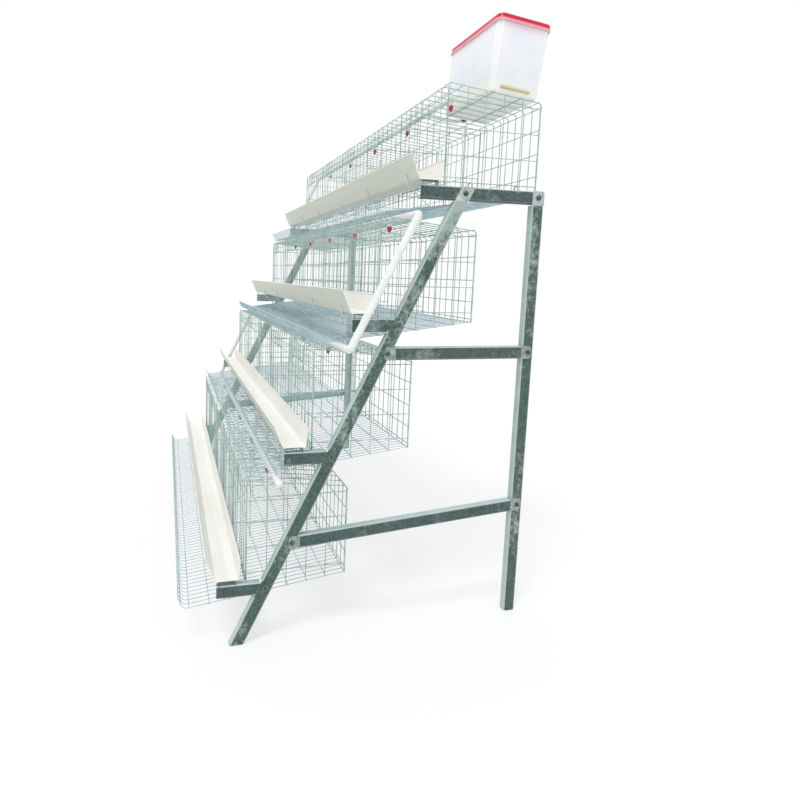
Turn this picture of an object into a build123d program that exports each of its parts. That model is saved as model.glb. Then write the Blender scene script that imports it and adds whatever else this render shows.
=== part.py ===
from build123d import *
import os
from math import atan, cos, hypot, radians, sin, sqrt, tan

# Layer cage for hens: four stepped tiers of welded wire cages on two galvanised half A-frames.
# Millimetres. +Z is up, the feed troughs face -Y, the tank stands at the +X end.
# The origin is on the ground, under the middle of the whole cage.

os.makedirs("parts", exist_ok=True)

# Tiers
tier_count = 4
tier_rise = 455.0  # from one tier to the next, up
tier_step = 225.0  # from one tier to the next, towards the rear
lowest_arm_top = 221.0

# Wire cages
compartment_count = 5
compartment_width = 390.0
front_gaps = 8  # between the uprights of one compartment's front
back_gaps = 4  # between the wires of its roof and rear
floor_gaps = 9  # between the wires of its floor, closer than an egg is wide
lip_every = 5  # floor wires to one upright of the egg lip
cage_depth = 365.0
net_wire = 2.5
rail_wire = 3.0
floor_rear_drop = 12.0  # rear edge of the floor below the top of the arms
floor_slope = 7.6  # degrees, so that eggs roll to the front
roof_slope = 6.25  # degrees, falling to the rear
tray_reach = 210.0  # egg tray in front of the cage front
lip_height = 40.0
lip_lean = 20.0
egg_gap = 55.0  # under the front net
stack_gap = 10.0  # between a tray and the tier below it
upper_rail_drop = 38.0
door_rail_drop = 70.0
partition_upright_count = 3
partition_bar_heights = (20.0, 110.0, 200.0, 290.0)
roof_bar_places = (4.0, 60.0, 175.0)  # from the front edge of the roof
rear_roof_bar_places = (82.0, 9.0)  # from its rear edge
rear_bar_drops = (5.0, 90.0, 174.0, 252.0)
rear_bar_above_floor = 8.0
floor_bar_count = 4

# Sliding doors
door_first_gap = 1
door_gap_count = 4
slide_clearance = 0.5
seat_clearance = 0.3
door_overhang = 6.0
door_top_gap = 6.0
door_rod_overrun = 8.0
low_rail_height = 20.0

# Feed troughs
trough_lift = 16.0
trough_front = 107.0  # lower front corner, ahead of the cage front
trough_floor_width = 80.0
trough_front_flare = 34.0
trough_front_height = 80.0
trough_rear_flare = 7.0
trough_rear_height = 66.0
trough_wall = 2.5
trough_corner = 6.0
trough_end_gap = 2.0
hook_wire = 4.0
hook_reach = 28.0
hook_foot = 20.0  # foot of a hook, ahead of the cage front
rest_length = 60.0

# Frames
frame_gap = 40.0  # from the end of the cages to the outside of a frame
channel_web = 46.0
channel_flange = 25.0
sheet = 2.0
arm_reach = 102.0
leg_lead = 51.0  # front edge of the leg behind the cage front, at the top of the arm
post_front = 328.0  # front edge of the rear post behind the front of the top tier
fit_gap = 4.0
tab_lap = 36.0
tab_margin = 5.0
middle_brace_top = 1033.0
lower_brace_top_at_leg = 380.0
lower_brace_rise = 70.0
bolt_flats = 13.0
bolt_head = 5.5
peg_size = 8.0

# Water line
pipe_diameter = 26.0
pipe_place = 105.0  # behind the cage front
pipe_overhang = 35.0  # line of the bends outside a frame
pipe_end_overrun = 32.0  # closed end of the top pipe past its last nipple
bend_arm = 30.0
plug_flats = 24.0
plug_sides = 12
plug_length = 12.0
nipple_offset = 20.0  # from the middle of a compartment
nipple_size = 18.0
nipple_length = 32.0
nipple_bore = 3.8
nipple_bore_depth = 14.0
pin_size = 3.0
pin_length = 18.0
pin_travel = 2.0

# Tank
tank_length = 330.0
tank_depth = 190.0
tank_height = 250.0
tank_place = 158.0  # front of the base along the roof net
tank_end_inset = 2.0
tank_taper = 1.4  # degrees, wider at the top
tank_wall = 3.0
tank_corner_radius = 24.0
lid_drop = 14.0
lid_thickness = 10.0
lid_wall = 3.0
lid_clearance = 1.0
outlet_diameter = 16.0
outlet_nut_flats = 22.0
outlet_nut_length = 12.0
outlet_run = 46.0

# Sizes that follow
cage_length = compartment_count * compartment_width
half_length = cage_length / 2
pitch = compartment_width / front_gaps
half_span = half_length + frame_gap
floor_fall = tan(radians(floor_slope))
roof_fall = tan(radians(roof_slope))
roof_length = cage_depth / cos(radians(roof_slope))
tray_depth = floor_rear_drop + (cage_depth + tray_reach) * floor_fall + net_wire + rail_wire
front_top = tier_rise - tray_depth - stack_gap
net_length = cage_length + net_wire
top_arm = lowest_arm_top + (tier_count - 1) * tier_rise
leg_slope = tier_step / tier_rise
leg_cos = cos(atan(leg_slope))
leg_width = channel_web / leg_cos
pipe_radius = pipe_diameter / 2
tank_spread = tan(radians(tank_taper))
lid_edge = lid_clearance + lid_wall
lid_rear = tank_place + tank_depth + tank_height * tank_spread + lid_edge
lid_top = rail_wire + tank_height + lid_thickness
rear_reach = lid_rear * cos(radians(roof_slope)) + lid_top * sin(radians(roof_slope))
front_reach = (tier_count - 1) * tier_step + tray_reach + lip_lean
front_line = (front_reach - rear_reach) / 2  # front of the top tier


def wire_places(gaps):
    """Places along X of evenly spaced wires, with so many gaps to a compartment."""
    return [-half_length + compartment_width / gaps * n for n in range(compartment_count * gaps + 1)]


walls = wire_places(1)
front_places = wire_places(front_gaps)
back_places = wire_places(back_gaps)
floor_places = wire_places(floor_gaps)


def tier_front(tier):
    return front_line - tier * tier_step


def arm_top(tier):
    return top_arm - tier * tier_rise


def tier_place(tier):
    return Location((0, tier_front(tier), arm_top(tier)))


def floor_z(y):
    """Top of the floor wires of a tier, whose own origin is at its front and its arm top."""
    return -floor_rear_drop - (cage_depth - y) * floor_fall


def roof_under(y):
    """Underside of the roof wires of a tier."""
    return front_top - y * roof_fall - net_wire / cos(radians(roof_slope))


def leg_y(z):
    """Front edge of a leg at a height above the ground."""
    return front_line + leg_lead + (z - top_arm) * leg_slope


def rods(plane, spots, width, length, thickness):
    """Wires of one size on a plane, each a solid of its own."""
    with BuildPart() as group:
        with BuildSketch(plane):
            with Locations(*spots):
                Rectangle(width, length)
        extrude(amount=thickness)
    return group.part.solids()


def slab(points, x_from, x_to):
    """A plate with an outline in Y and Z, between two places along X."""
    with BuildPart() as plate:
        with BuildSketch(Plane.YZ.offset(x_from)):
            with BuildLine():
                Polyline(*points, close=True)
            make_face()
        extrude(amount=x_to - x_from)
    return plate.part


def copies(solids, places):
    return [solid.moved(Location(place)) for place in places for solid in solids]


def write(shape, name):
    shape.label = name
    export_step(shape, f"parts/{name}.step")


# Planes of a tier: its front, its sloping roof and its sloping floor
roof_plane = Plane(
    origin=(0, 0, front_top),
    x_dir=(1, 0, 0),
    z_dir=(0, sin(radians(roof_slope)), cos(radians(roof_slope))),
)
floor_plane = Plane(
    origin=(0, 0, floor_z(0)),
    x_dir=(1, 0, 0),
    z_dir=(0, -sin(radians(floor_slope)), cos(radians(floor_slope))),
)
rear_plane = Plane.XZ.offset(-cage_depth)

# Shell net: roof, front and rear of a tier, bent from one welded net
front_bottom = floor_z(0) + egg_gap
front_rod_top = roof_under(net_wire)
door_rail_z = front_top - door_rail_drop
upper_rail_z = front_top - upper_rail_drop
door_steps = range(door_first_gap + 1, door_first_gap + door_gap_count)
door_gap_places = [wall + pitch * n for wall in walls[:-1] for n in door_steps]
front_rod_places = [x for x in front_places if min(abs(x - gap) for gap in door_gap_places) > pitch / 2]
rear_rod_top = roof_under(cage_depth)
rear_rod_bottom = floor_z(cage_depth)

roof_rods = rods(
    roof_plane,
    [(x, roof_length / 2) for x in back_places],
    net_wire,
    roof_length,
    -net_wire,
)
roof_bar_lines = [*roof_bar_places, *(roof_length - place for place in rear_roof_bar_places)]
roof_bars = rods(roof_plane, [(0, y) for y in roof_bar_lines], net_length, rail_wire, rail_wire)
front_rods = rods(
    Plane.XZ,
    [(x, (front_bottom + front_rod_top) / 2) for x in front_rod_places],
    net_wire,
    front_rod_top - front_bottom,
    -net_wire,
)
front_bar_heights = (upper_rail_z, door_rail_z, low_rail_height, front_bottom + rail_wire / 2)
front_bars = rods(Plane.XZ, [(0, z) for z in front_bar_heights], net_length, rail_wire, rail_wire)
rear_rods = rods(
    rear_plane,
    [(x, (rear_rod_top + rear_rod_bottom) / 2) for x in back_places],
    net_wire,
    rear_rod_top - rear_rod_bottom,
    net_wire,
)
rear_bar_heights = [rear_rod_top - drop for drop in rear_bar_drops]
rear_bar_heights.append(rear_rod_bottom + rear_bar_above_floor)
rear_bars = rods(rear_plane, [(0, z) for z in rear_bar_heights], net_length, rail_wire, -rail_wire)
shell_net = Compound(roof_rods + roof_bars + front_rods + front_bars + rear_rods + rear_bars)

# Floor net of a tier, which runs out under the front as an egg tray with a raised lip
floor_cos = cos(radians(floor_slope))
floor_rod_length = (cage_depth + tray_reach) / floor_cos
floor_rod_middle = (cage_depth - tray_reach) / 2 / floor_cos
tray_edge = -tray_reach / floor_cos
floor_bar_step = floor_rod_length / floor_bar_count
floor_bar_places = [tray_edge + floor_bar_step * (n + 0.5) for n in range(floor_bar_count)]
floor_rods = rods(
    floor_plane,
    [(x, floor_rod_middle) for x in floor_places],
    net_wire,
    floor_rod_length,
    -net_wire,
)
floor_bars = rods(
    floor_plane.offset(-net_wire),
    [(0, y) for y in floor_bar_places],
    net_length,
    rail_wire,
    -rail_wire,
)
lip_top = floor_z(-tray_reach) + lip_height
lip_upright = slab(
    [
        (-tray_reach, floor_z(-tray_reach)),
        (-tray_reach + net_wire, floor_z(-tray_reach + net_wire)),
        (-tray_reach + net_wire - lip_lean, lip_top),
        (-tray_reach - lip_lean, lip_top),
    ],
    -net_wire / 2,
    net_wire / 2,
)
lip_uprights = copies(lip_upright.solids(), [(x, 0, 0) for x in floor_places[::lip_every]])
lip_bar = rods(
    Plane.XY.offset(lip_top),
    [(0, -tray_reach - lip_lean + rail_wire / 2)],
    net_length,
    rail_wire,
    rail_wire,
)
floor_net = Compound(floor_rods + floor_bars + lip_uprights + lip_bar)

# Partitions of a tier: two end panels and the dividers between compartments
upright_first = net_wire * 1.5
upright_step = (cage_depth - net_wire * 3) / (partition_upright_count - 1)
with BuildPart() as partition_uprights:
    with BuildSketch(Plane.YZ.offset(-net_wire / 2)):
        for n in range(partition_upright_count):
            upright_y = upright_first + upright_step * n
            upright_low = floor_z(upright_y + net_wire / 2)
            upright_high = roof_under(upright_y + net_wire / 2)
            with Locations((upright_y, (upright_low + upright_high) / 2)):
                Rectangle(net_wire, upright_high - upright_low)
    extrude(amount=net_wire)
partition_bars = rods(
    Plane.YZ.offset(net_wire / 2),
    [(cage_depth / 2, z) for z in partition_bar_heights],
    cage_depth - net_wire * 2,
    net_wire,
    net_wire,
)
partition = partition_uprights.part.solids() + partition_bars
partition_turned = [solid.mirror(Plane.YZ) for solid in partition]
partitions = Compound(
    copies(partition, [(x, 0, 0) for x in walls if x > 0])
    + copies(partition_turned, [(x, 0, 0) for x in walls if x <= 0])
)

# Sliding door of the first compartment, hung on the door rail and guided by the low rail
door_rod_low = low_rail_height - door_rod_overrun
door_rod_high = front_top - door_top_gap
door_bar_lift = rail_wire + seat_clearance
door_middle = walls[0] + pitch * (door_first_gap + door_gap_count / 2)
door_rods = rods(
    Plane.XZ.offset(rail_wire + slide_clearance),
    [(walls[0] + pitch * n, (door_rod_low + door_rod_high) / 2) for n in door_steps],
    net_wire,
    door_rod_high - door_rod_low,
    net_wire,
)
door_bars = rods(
    Plane.XZ.offset(slide_clearance),
    [(door_middle, z + door_bar_lift) for z in (low_rail_height, door_rail_z)],
    pitch * door_gap_count + door_overhang * 2,
    rail_wire,
    rail_wire,
)
door = Compound(door_rods + door_bars)

# Feed trough of a tier, an open channel with a flared front wall
trough_half = half_span - trough_end_gap
trough_rear = -trough_front + trough_floor_width
with BuildPart() as feed_trough:
    with BuildSketch(Plane.YZ.offset(-trough_half)) as trough_section:
        with BuildLine():
            Polyline(
                (-trough_front - trough_front_flare, trough_lift + trough_front_height),
                (-trough_front, trough_lift),
                (trough_rear, trough_lift),
                (trough_rear + trough_rear_flare, trough_lift + trough_rear_height),
            )
            offset(amount=trough_wall, side=Side.LEFT)
        make_face()
        chamfer(trough_section.vertices().sort_by(Axis.Y)[:4], length=trough_corner)
    extrude(amount=trough_half * 2)

# Trough holders: rests on the arms, and wire hooks that stand on the floor net
trough_front_wall = hypot(trough_front_flare, trough_front_height)
hook_low = trough_lift + trough_corner * trough_front_height / trough_front_wall
hook_high = trough_lift + hook_reach


def trough_face(z):
    """Outer face of the trough's front wall at a height."""
    return -trough_front - (z - trough_lift) * trough_front_flare / trough_front_height


hook_tip = slab(
    [
        (trough_face(hook_low), hook_low),
        (trough_face(hook_high), hook_high),
        (trough_face(hook_high) - hook_wire, hook_high),
        (trough_face(hook_low) - hook_wire, hook_low),
    ],
    -hook_wire / 2,
    hook_wire / 2,
)
hook_strut = slab(
    [
        (trough_face(hook_low) - hook_wire, hook_low),
        (trough_face(hook_low), hook_low),
        (-hook_foot, floor_z(-hook_foot)),
        (-hook_foot - hook_wire * 2, floor_z(-hook_foot - hook_wire * 2)),
    ],
    -hook_wire / 2,
    hook_wire / 2,
)
hook_places = [(x - compartment_width / floor_gaps, 0, 0) for x in walls[1:]]
hooks = copies([hook_tip.solid(), hook_strut.solid()], hook_places)
rest_middle = -trough_front + trough_floor_width / 2
rest_width = channel_flange - sheet
with BuildPart() as trough_rests:
    with Locations(
        (half_span - sheet - rest_width / 2, rest_middle, 0),
        (-half_span + sheet + rest_width / 2, rest_middle, 0),
    ):
        Box(rest_width, rest_length, trough_lift, align=(Align.CENTER, Align.CENTER, Align.MIN))
holder_solids = hooks + trough_rests.part.solids()
trough_holders = Compound(
    [solid.moved(tier_place(tier)) for tier in range(tier_count) for solid in holder_solids]
)

# Frame at the +X end: channels with their webs outwards, bolted at flat tabs
web_in = half_span - sheet
flange_in = half_span - channel_flange
beam_bottom = top_arm - channel_web
tab_bottom = beam_bottom - fit_gap
flange_run = sheet / leg_cos


def leg_strip(y_offset, width, z_top):
    """Outline of a strip along the leg, level at both ends."""
    return [
        (leg_y(0) + y_offset, 0),
        (leg_y(0) + y_offset + width, 0),
        (leg_y(z_top) + y_offset + width, z_top),
        (leg_y(z_top) + y_offset, z_top),
    ]


def leg_notch(tier):
    """Outline of the gap in the front flange of the leg where an arm goes through."""
    low = arm_top(tier) - channel_web - fit_gap
    high = arm_top(tier) + fit_gap
    return [
        (leg_y(low) - sheet, low),
        (leg_y(low) + flange_run + sheet, low),
        (leg_y(high) + flange_run + sheet, high),
        (leg_y(high) - sheet, high),
    ]


leg_plates = [
    slab(leg_strip(0, leg_width, top_arm), web_in, half_span),
    slab(leg_strip(0, flange_run, tab_bottom), flange_in, web_in),
    slab(leg_strip(leg_width - flange_run, flange_run, tab_bottom), flange_in, web_in),
]
leg_notches = [slab(leg_notch(tier), flange_in, web_in) for tier in range(1, tier_count)]
with BuildPart() as front_leg_near:
    add(leg_plates)
    add(leg_notches, mode=Mode.SUBTRACT)

post_y = front_line + post_front
with BuildPart() as rear_post_near:
    with BuildSketch(Plane.XY):
        with Locations((half_span, post_y)):
            Rectangle(channel_flange, channel_web, align=(Align.MAX, Align.MIN))
        with Locations((web_in, post_y + sheet)):
            Rectangle(
                channel_flange,
                channel_web - sheet * 2,
                align=(Align.MAX, Align.MIN),
                mode=Mode.SUBTRACT,
            )
    extrude(amount=tab_bottom)
    with BuildSketch(Plane.XY.offset(tab_bottom)):
        with Locations((half_span, post_y)):
            Rectangle(sheet, channel_web, align=(Align.MAX, Align.MIN))
    extrude(amount=top_arm - tab_bottom)


with BuildPart() as top_beam_near:
    with BuildSketch(Plane.XZ.offset(arm_reach - front_line)):
        with Locations((web_in, top_arm)):
            Rectangle(channel_flange - sheet, channel_web, align=(Align.MAX, Align.MAX))
        with Locations((web_in - sheet, top_arm - sheet)):
            Rectangle(
                channel_flange,
                channel_web - sheet * 2,
                align=(Align.MAX, Align.MAX),
                mode=Mode.SUBTRACT,
            )
    extrude(amount=-arm_reach - post_front - channel_web)


def arm_strip(y_from, low, high):
    """Outline of a level strip of an arm, cut at its rear along the leg."""
    return [
        (y_from, low),
        (leg_y(low) - fit_gap, low),
        (leg_y(high) - fit_gap, high),
        (y_from, high),
    ]


arm_pieces = []
for tier in range(1, tier_count):
    arm_high = arm_top(tier)
    arm_low = arm_high - channel_web
    arm_tip = tier_front(tier) - arm_reach
    tab_start = leg_y(arm_low) - fit_gap
    tab_end = leg_y(arm_low) + leg_width - flange_run - fit_gap
    tab_outline = [
        (tab_start, arm_low + tab_margin),
        (tab_end, arm_low + tab_margin),
        (tab_end, arm_high - tab_margin),
        (tab_start, arm_high - tab_margin),
    ]
    arm_pieces.append(slab(arm_strip(arm_tip, arm_low, arm_high), web_in - sheet, web_in))
    arm_pieces.append(slab(arm_strip(arm_tip, arm_high - sheet, arm_high), flange_in, web_in))
    arm_pieces.append(slab(arm_strip(arm_tip, arm_low, arm_low + sheet), flange_in, web_in))
    arm_pieces.append(slab(tab_outline, web_in - sheet, web_in))
with BuildPart() as support_arms_near:
    add(arm_pieces)

half_web = channel_web / 2
brace_flange_in = flange_in + sheet


def brace(top_at_leg, rise):
    """A channel between leg and post, with flat ends lapped on their outer faces."""
    leg_rear = leg_y(top_at_leg) + leg_width
    channel_from = leg_rear + fit_gap
    channel_to = post_y - fit_gap
    tab_from = leg_rear - tab_lap
    tab_to = post_y + tab_lap

    def top(y):
        return top_at_leg + rise * (y - leg_rear) / (post_y - leg_rear)

    def strip(y_from, y_to, drop, depth):
        return [
            (y_from, top(y_from) - drop - depth),
            (y_to, top(y_to) - drop - depth),
            (y_to, top(y_to) - drop),
            (y_from, top(y_from) - drop),
        ]

    plates = [
        slab(strip(tab_from, tab_to, 0, channel_web), half_span, half_span + sheet),
        slab(strip(channel_from, channel_to, 0, sheet), brace_flange_in, half_span),
        slab(strip(channel_from, channel_to, channel_web - sheet, sheet), brace_flange_in, half_span),
    ]
    bolts = [(y, top(y) - half_web) for y in (leg_rear - leg_width / 2, post_y + half_web)]
    return plates, bolts


middle_brace, middle_bolts = brace(middle_brace_top, 0)
lower_brace, lower_bolts = brace(lower_brace_top_at_leg, lower_brace_rise)
with BuildPart() as cross_braces_near:
    add(middle_brace)
    add(lower_brace)

# Bolt heads on the outer faces of both frames
arm_bolts = []
for tier in range(tier_count):
    bolt_z = arm_top(tier) - half_web
    arm_bolts.append((leg_y(bolt_z) + leg_width / 2, bolt_z))
arm_bolts.append((post_y + half_web, top_arm - half_web))
with BuildPart() as frame_bolts:
    with BuildSketch(Plane.YZ.offset(half_span)):
        with Locations(*arm_bolts):
            RegularPolygon(bolt_flats / 2, 6, major_radius=False)
    extrude(amount=bolt_head)
    with BuildSketch(Plane.YZ.offset(half_span + sheet)):
        with Locations(*middle_bolts, *lower_bolts):
            RegularPolygon(bolt_flats / 2, 6, major_radius=False)
    extrude(amount=bolt_head)
    mirror(about=Plane.YZ)

# Hanger pegs from the legs, on which the end panels of the cages hang
peg_bars = (partition_bar_heights[0], partition_bar_heights[-1])
panel_face = half_length + net_wire / 2
peg_spots = []
for tier in range(tier_count):
    for bar_z in peg_bars:
        peg_z = arm_top(tier) + bar_z - net_wire / 2 - peg_size / 2
        if peg_z < tab_bottom - peg_size:
            peg_spots.append((leg_y(peg_z) + leg_width / 2, peg_z))
with BuildPart() as hanger_pegs:
    with BuildSketch(Plane.YZ.offset(panel_face)):
        with Locations(*peg_spots):
            Rectangle(peg_size, peg_size)
    extrude(amount=web_in - panel_face)
    mirror(about=Plane.YZ)

# Top tier: pegs stand up from the beam under the lowest bar of the end panels
with BuildPart() as beam_pegs:
    with BuildSketch(Plane.XY.offset(top_arm)):
        with Locations(
            ((panel_face + web_in) / 2, front_line + cage_depth / 4),
            ((panel_face + web_in) / 2, front_line + cage_depth * 3 / 4),
        ):
            Rectangle(web_in - panel_face, peg_size)
    extrude(amount=partition_bar_heights[0] - net_wire / 2)
    mirror(about=Plane.YZ)
cage_hangers = Compound(hanger_pegs.part.solids() + beam_pegs.part.solids())

# Water line: a pipe on the roof of each tier, joined at alternate ends
roof_cos = cos(radians(roof_slope))
pipe_lift = (pipe_radius + seat_clearance) / roof_cos
pipe_z = front_top - pipe_place * roof_fall + pipe_lift
bend_x = half_span + pipe_overhang
straight_x = bend_x - bend_arm


def pipe_point(tier, x):
    return Vector(x, tier_front(tier) + pipe_place, arm_top(tier) + pipe_z)


def along_x(point, direction):
    """A plane at a point, across the pipes."""
    return Plane(point, x_dir=(0, 1, 0), z_dir=(direction, 0, 0))


def straight_pipe(tier, low_x, high_x):
    with BuildPart() as pipe:
        with BuildSketch(along_x(pipe_point(tier, low_x), 1)):
            Circle(pipe_radius)
        extrude(amount=high_x - low_x)
    return pipe.part


def bent_pipe(tier, end):
    """The pipe that turns down at one end of a tier and back in at the tier below."""
    with BuildPart() as bend:
        with BuildLine() as centre:
            Polyline(
                pipe_point(tier, end * straight_x),
                pipe_point(tier, end * bend_x),
                pipe_point(tier + 1, end * bend_x),
                pipe_point(tier + 1, end * straight_x),
            )
        with BuildSketch(along_x(pipe_point(tier, end * straight_x), end)):
            Circle(pipe_radius)
        sweep(path=centre.wire(), transition=Transition.RIGHT)
    return bend.part


def plug(point, direction):
    with BuildPart() as head:
        with BuildSketch(along_x(point, direction)):
            RegularPolygon(plug_flats / 2, plug_sides, major_radius=False)
        extrude(amount=plug_length)
    return head.part


nipple_places = [wall + compartment_width / 2 + nipple_offset for wall in walls[:-1]]
top_pipe_end = nipple_places[-1] + pipe_end_overrun
last_tier = tier_count - 1
bend_ends = [-1 if tier % 2 == 0 else 1 for tier in range(tier_count)]
last_end = bend_ends[last_tier]
pipe_ends = [top_pipe_end] + [straight_x] * last_tier
drinker_pipes = Compound([straight_pipe(tier, -straight_x, pipe_ends[tier]) for tier in range(tier_count)])
pipe_bends = Compound([bent_pipe(tier, bend_ends[tier]) for tier in range(last_tier)])
pipe_plugs = Compound(
    [
        plug(pipe_point(0, top_pipe_end), 1),
        plug(pipe_point(last_tier, last_end * straight_x), last_end),
    ]
)

# Nipple drinkers under the pipes, each with a valve pin that a hen pushes up
nipple_top = pipe_z - pipe_radius - seat_clearance
nipple_bottom = nipple_top - nipple_length
with BuildPart() as nipple:
    with BuildSketch(Plane.XY.offset(nipple_bottom)):
        Rectangle(nipple_size, nipple_size)
    extrude(amount=nipple_length)
    with BuildSketch(Plane.XY.offset(nipple_bottom)):
        Rectangle(nipple_bore, nipple_bore)
    extrude(amount=nipple_bore_depth, mode=Mode.SUBTRACT)
nipple_spots = [(x, pipe_place, 0) for x in nipple_places]
nipples = copies([nipple.part.solid()], nipple_spots)
nipple_bodies = Compound([body.moved(tier_place(tier)) for tier in range(tier_count) for body in nipples])
pin_top = nipple_bottom + nipple_bore_depth - pin_travel - seat_clearance
with BuildPart() as pin:
    with BuildSketch(Plane.XY.offset(pin_top - pin_length)):
        Rectangle(pin_size, pin_size)
    extrude(amount=pin_length)
pins = Compound(copies([pin.part.solid()], nipple_spots))

# Tank on the roof of the top tier, with a lift-off lid and an outlet into the top pipe
tank_plane = roof_plane.offset(rail_wire)
tank_plane.origin = tank_plane.origin + Vector(0, front_line, top_arm)
tank_x = half_length - tank_end_inset - tank_length / 2
tank_y = tank_place + tank_depth / 2
top_growth = 2 * tank_height * tank_spread
upright_axis = Axis(tank_plane.origin, tank_plane.z_dir)
tank_base = tank_plane.from_local_coords((tank_x, tank_y, 0))
tank_front_view = Plane(tank_base, x_dir=tank_plane.x_dir, z_dir=-tank_plane.y_dir)
tank_side_view = Plane(tank_base, x_dir=tank_plane.y_dir, z_dir=tank_plane.x_dir)


def tapered_face(width, bottom, inset):
    """Outline of the tub seen square on, wider at the top."""
    low = width / 2 + bottom * tank_spread - inset
    high = width / 2 + tank_height * tank_spread - inset
    return [(-low, bottom), (low, bottom), (high, tank_height), (-high, tank_height)]


def tapered_tub(bottom, inset):
    """A tub that widens upwards, with rounded corners; inset makes the hollow inside its wall."""
    with BuildPart() as tub:
        with BuildSketch(tank_front_view):
            with BuildLine():
                Polyline(*tapered_face(tank_length, bottom, inset), close=True)
            make_face()
        extrude(amount=tank_depth, both=True)
        with BuildSketch(tank_side_view):
            with BuildLine():
                Polyline(*tapered_face(tank_depth, bottom, inset), close=True)
            make_face()
        extrude(amount=tank_length, both=True, mode=Mode.INTERSECT)
        level_faces = tub.faces().sort_by(upright_axis)
        level_edges = level_faces[0].edges() + level_faces[-1].edges()
        fillet(tub.edges() - level_edges, radius=tank_corner_radius - inset)
    return tub.part


tank_outside = tapered_tub(0, 0)
tank_inside = tapered_tub(tank_wall, tank_wall)
with BuildPart() as water_tank:
    add(tank_outside)
    add(tank_inside, mode=Mode.SUBTRACT)

with BuildPart() as tank_lid:
    with BuildSketch(tank_plane.offset(tank_height - lid_drop)):
        with Locations((tank_x, tank_y)):
            RectangleRounded(
                tank_length + top_growth + lid_edge * 2,
                tank_depth + top_growth + lid_edge * 2,
                tank_corner_radius + lid_edge,
            )
    extrude(amount=lid_drop + lid_thickness)
    with BuildSketch(tank_plane.offset(tank_height - lid_drop)):
        with Locations((tank_x, tank_y)):
            RectangleRounded(
                tank_length + top_growth + lid_clearance * 2,
                tank_depth + top_growth + lid_clearance * 2,
                tank_corner_radius + lid_clearance,
            )
    extrude(amount=lid_drop, mode=Mode.SUBTRACT)

outlet_height = pipe_radius + seat_clearance - rail_wire  # level with the pipe it feeds
nut_top = outlet_height + outlet_nut_flats / sqrt(3)
outlet_start = tank_x - tank_length / 2 - nut_top * tank_spread
outlet_corner = outlet_start - outlet_nut_length - outlet_run
outlet_end = pipe_place / roof_cos + pipe_radius + seat_clearance
nut_origin = tank_plane.from_local_coords((outlet_start, tank_y, outlet_height))
pipe_origin = tank_plane.from_local_coords((outlet_start - outlet_nut_length, tank_y, outlet_height))
with BuildPart() as tank_outlet:
    with BuildSketch(Plane(nut_origin, x_dir=(0, 1, 0), z_dir=(-1, 0, 0))):
        RegularPolygon(outlet_nut_flats / 2, 6, major_radius=False)
    extrude(amount=outlet_nut_length)
    with BuildLine() as outlet_path:
        Polyline(
            pipe_origin,
            tank_plane.from_local_coords((outlet_corner, tank_y, outlet_height)),
            tank_plane.from_local_coords((outlet_corner, outlet_end, outlet_height)),
        )
    with BuildSketch(Plane(pipe_origin, x_dir=(0, 1, 0), z_dir=(-1, 0, 0))):
        Circle(outlet_diameter / 2)
    sweep(path=outlet_path.wire(), transition=Transition.RIGHT)

# Every piece, written once for each place that it has
for tier in range(tier_count):
    number = tier + 1
    write(shell_net.moved(tier_place(tier)), f"shell_net_{number}")
    write(floor_net.moved(tier_place(tier)), f"floor_net_{number}")
    write(partitions.moved(tier_place(tier)), f"partitions_{number}")
    write(feed_trough.part.moved(tier_place(tier)), f"feed_trough_{number}")
    write(pins.moved(tier_place(tier)), f"nipple_pins_{number}")
    for compartment in range(compartment_count):
        door_place = tier_place(tier) * Location((compartment * compartment_width, 0, 0))
        write(door.moved(door_place), f"door_{number}_{compartment + 1}")

frame_parts = {
    "front_leg": front_leg_near,
    "rear_post": rear_post_near,
    "top_beam": top_beam_near,
    "support_arms": support_arms_near,
    "cross_braces": cross_braces_near,
}
for name, frame_part in frame_parts.items():
    write(frame_part.part, f"{name}_near")
    write(frame_part.part.mirror(Plane.YZ), f"{name}_far")

write(frame_bolts.part, "frame_bolts")
write(cage_hangers, "cage_hangers")
write(trough_holders, "trough_holders")
write(drinker_pipes, "drinker_pipes")
write(pipe_bends, "pipe_bends")
write(pipe_plugs, "pipe_plugs")
write(nipple_bodies, "nipple_bodies")
write(water_tank.part, "water_tank")
write(tank_lid.part, "tank_lid")
write(tank_outlet.part, "tank_outlet")
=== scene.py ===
import math

import bmesh
import bpy
from mathutils import Matrix, Vector


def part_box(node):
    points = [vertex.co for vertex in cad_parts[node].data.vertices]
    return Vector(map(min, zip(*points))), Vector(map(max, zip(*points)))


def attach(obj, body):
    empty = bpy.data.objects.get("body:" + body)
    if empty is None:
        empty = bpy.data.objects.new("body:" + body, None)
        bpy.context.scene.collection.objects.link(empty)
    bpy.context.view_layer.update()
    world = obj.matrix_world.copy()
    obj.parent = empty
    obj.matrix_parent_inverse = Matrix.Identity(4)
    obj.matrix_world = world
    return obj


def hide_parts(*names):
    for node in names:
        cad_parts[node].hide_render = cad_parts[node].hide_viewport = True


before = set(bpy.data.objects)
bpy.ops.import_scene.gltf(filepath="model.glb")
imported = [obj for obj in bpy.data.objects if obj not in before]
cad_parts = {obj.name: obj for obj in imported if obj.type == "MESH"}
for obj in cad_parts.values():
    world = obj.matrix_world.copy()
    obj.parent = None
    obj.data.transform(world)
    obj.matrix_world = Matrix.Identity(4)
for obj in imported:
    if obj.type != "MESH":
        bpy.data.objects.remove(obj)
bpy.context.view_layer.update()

# Layer cage for hens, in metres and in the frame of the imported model.
# The troughs face -Y and the tank stands at the +X end.

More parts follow.
